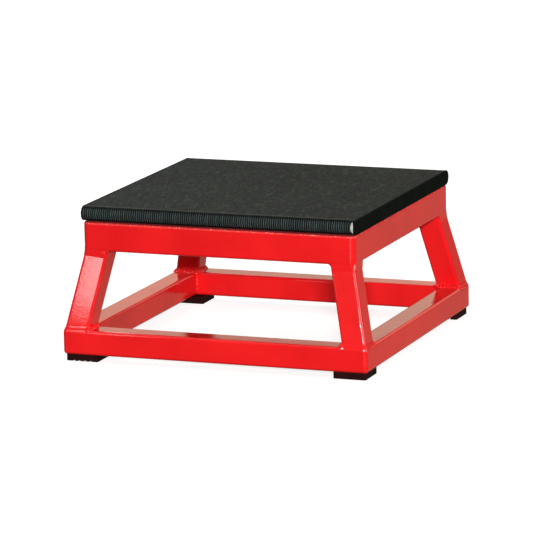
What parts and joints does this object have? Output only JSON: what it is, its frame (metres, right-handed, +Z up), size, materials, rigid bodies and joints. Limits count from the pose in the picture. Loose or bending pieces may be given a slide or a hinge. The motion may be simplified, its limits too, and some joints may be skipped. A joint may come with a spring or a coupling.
{
  "type": "mounting block",
  "caption": "Low square stable-yard mounting block: welded splayed tube frame with a base ring, rubber feet and a board deck wrapped in a fine-ribbed rubber mat.",
  "frame": {"origin": "centre of the base on the floor, under the feet", "axes": "+Z up, -Y the front (one of the two edges that the mat wraps over), +X to the right"},
  "size_m": [0.646, 0.646, 0.31],
  "materials": {
    "frame_red": "gloss red powder coat",
    "weld_red": "gloss red powder coat over rippled weld",
    "zinc": "zinc plated",
    "mat_rubber": "matt, fine ribbed, dusty on top",
    "trim_rubber": "smooth matt black",
    "foot_rubber": "matt black, moulded",
    "plywood": "birch plywood, sealed"
  },
  "bodies": {
    "root": {"apron_right": "frame_red", "apron_rear": "frame_red", "apron_left": "frame_red", "apron_front": "frame_red", "base_rail_right": "frame_red", "base_rail_rear": "frame_red", "base_rail_left": "frame_red", "base_rail_front": "frame_red", "leg_rear_right": "frame_red", "leg_rear_left": "frame_red", "leg_front_left": "frame_red", "leg_front_right": "frame_red", "gusset_rear_right": "frame_red", "gusset_rear_left": "frame_red", "gusset_front_left": "frame_red", "gusset_front_right": "frame_red", "welds_leg_feet": "weld_red", "welds_leg_tops": "weld_red", "welds_base_corners": "weld_red", "welds_apron_corners": "weld_red", "welds_gussets": "weld_red", "deck_screws": "zinc", "deck_washers": "zinc", "foot_screws": "zinc", "foot_washers": "zinc", "tread_mat": "mat_rubber", "deck_board": "plywood", "deck_trim_right": "trim_rubber", "deck_trim_left": "trim_rubber", "foot_rear_right": "foot_rubber", "foot_rear_left": "foot_rubber", "foot_front_left": "foot_rubber", "foot_front_right": "foot_rubber"}
  },
  "joints": []
}
